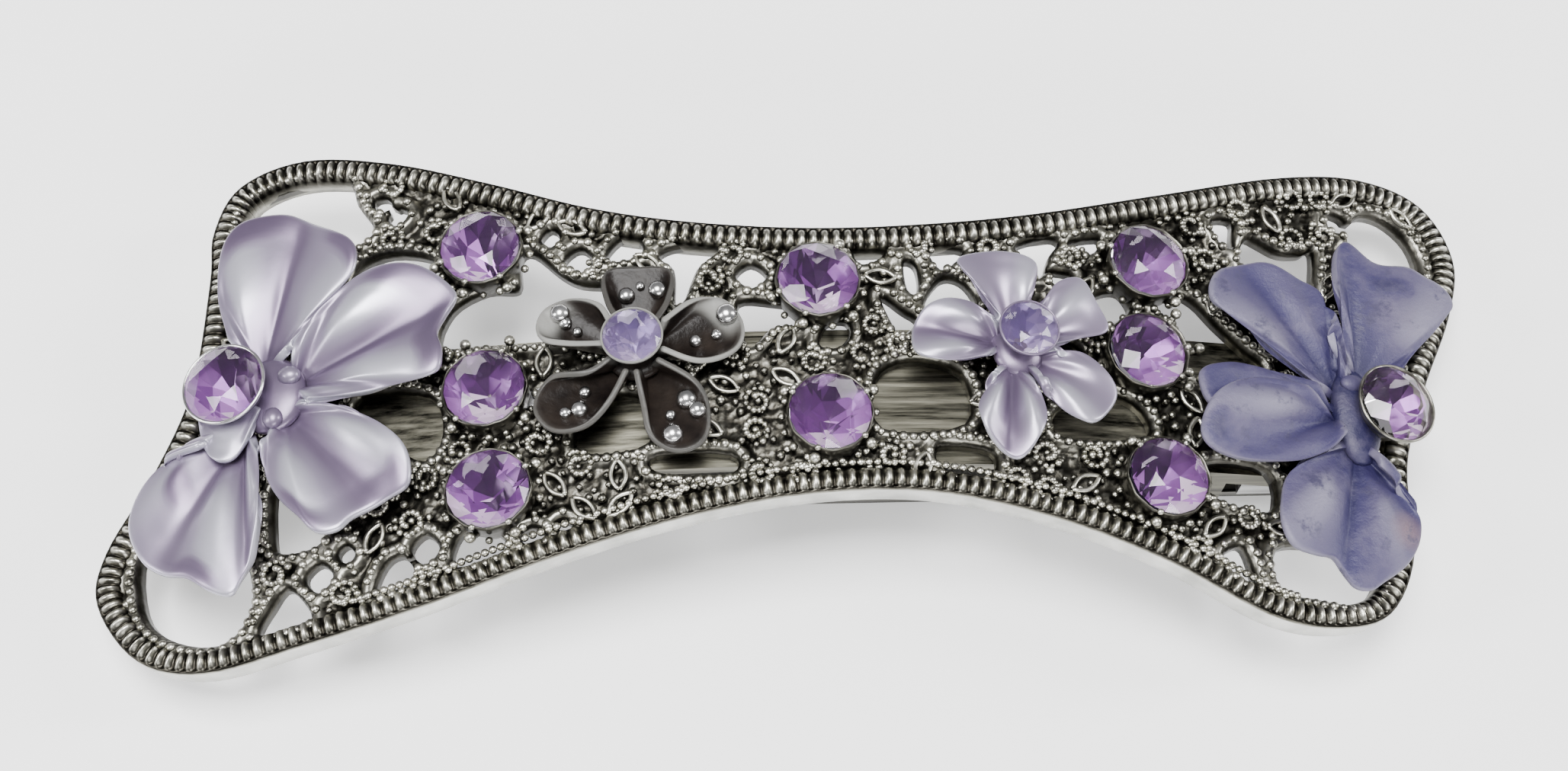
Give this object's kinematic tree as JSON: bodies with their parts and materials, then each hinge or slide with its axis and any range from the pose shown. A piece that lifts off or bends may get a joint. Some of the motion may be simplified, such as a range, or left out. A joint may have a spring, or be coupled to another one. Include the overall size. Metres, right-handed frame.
{
  "type": "hair barrette",
  "caption": "Arched filigree hair barrette with set crystals and enamelled flowers, on a hinged French clip with a tension bar and pinch clasp.",
  "frame": {"origin": "on the resting plane under the middle of the ornament's outline", "axes": "+X along the ornament's length, from the lilac flower to the violet flower; +Y across it, away from the clip's offset side; +Z out of the ornament's face"},
  "size_m": [0.0827, 0.0324, 0.0132],
  "materials": {
    "dark_plating": "black rhodium plated cast zinc, polished on the ridges",
    "violet_crystal": "cut glass with a foil back",
    "pale_crystal": "cut glass with a foil back",
    "lilac_enamel": "pearly satin enamel",
    "violet_enamel": "matte enamel, worn at the edges",
    "black_enamel": "gloss black enamel over silver",
    "silver_plating": "silver plated",
    "clip_steel": "brushed spring steel"
  },
  "bodies": {
    "ornament": {"filigree_casting": "dark_plating", "crystal_1": "violet_crystal", "crystal_2": "violet_crystal", "crystal_3": "violet_crystal", "crystal_4": "violet_crystal", "crystal_5": "violet_crystal", "crystal_6": "violet_crystal", "crystal_7": "violet_crystal", "crystal_8": "violet_crystal", "lilac_flower": "lilac_enamel", "black_flower": "black_enamel", "small_lilac_flower": "lilac_enamel", "violet_flower": "violet_enamel", "lilac_stone_cup": "silver_plating", "black_stone_cup": "silver_plating", "small_stone_cup": "silver_plating", "violet_stone_cup": "silver_plating", "lilac_stone": "violet_crystal", "black_stone": "pale_crystal", "small_stone": "pale_crystal", "violet_stone": "violet_crystal", "base_bar": "clip_steel", "base_rivets": "silver_plating", "hinge_pin": "clip_steel", "spring_pin": "clip_steel", "clasp_bracket": "clip_steel", "clasp_rivet": "silver_plating", "tab_pins": "clip_steel"},
    "closure_arm": {"closure_arm": "clip_steel"},
    "tension_bar": {"tension_bar": "clip_steel"},
    "pinch_tab_front": {"pinch_tab_front": "clip_steel"},
    "pinch_tab_back": {"pinch_tab_back": "clip_steel"}
  },
  "joints": [
    {"name": "closure_hinge", "type": "hinge", "parent": "ornament", "child": "closure_arm", "pos_m": [-0.0285, -0.0015, 0.00125], "axis": [0, 1, 0], "range_deg": [0, 75]},
    {"name": "tension_flex", "type": "hinge", "parent": "ornament", "child": "tension_bar", "pos_m": [-0.028, -0.0015, 0.00315], "axis": [0, -1, 0], "range_deg": [0, 1.4], "stiffness_Nm_per_rad": 0.02},
    {"name": "pinch_front", "type": "hinge", "parent": "ornament", "child": "pinch_tab_front", "pos_m": [0.0273, -0.00305, 0.00365], "axis": [1, 0, 0], "range_deg": [0, 6], "stiffness_Nm_per_rad": 0.004},
    {"name": "pinch_back", "type": "hinge", "parent": "ornament", "child": "pinch_tab_back", "pos_m": [0.0273, 0.00005, 0.00365], "axis": [1, 0, 0], "range_deg": [-6, 0], "stiffness_Nm_per_rad": 0.004}
  ],
  "couplings": [
    {"joint": "pinch_back", "follows": "pinch_front", "ratio": -1}
  ]
}
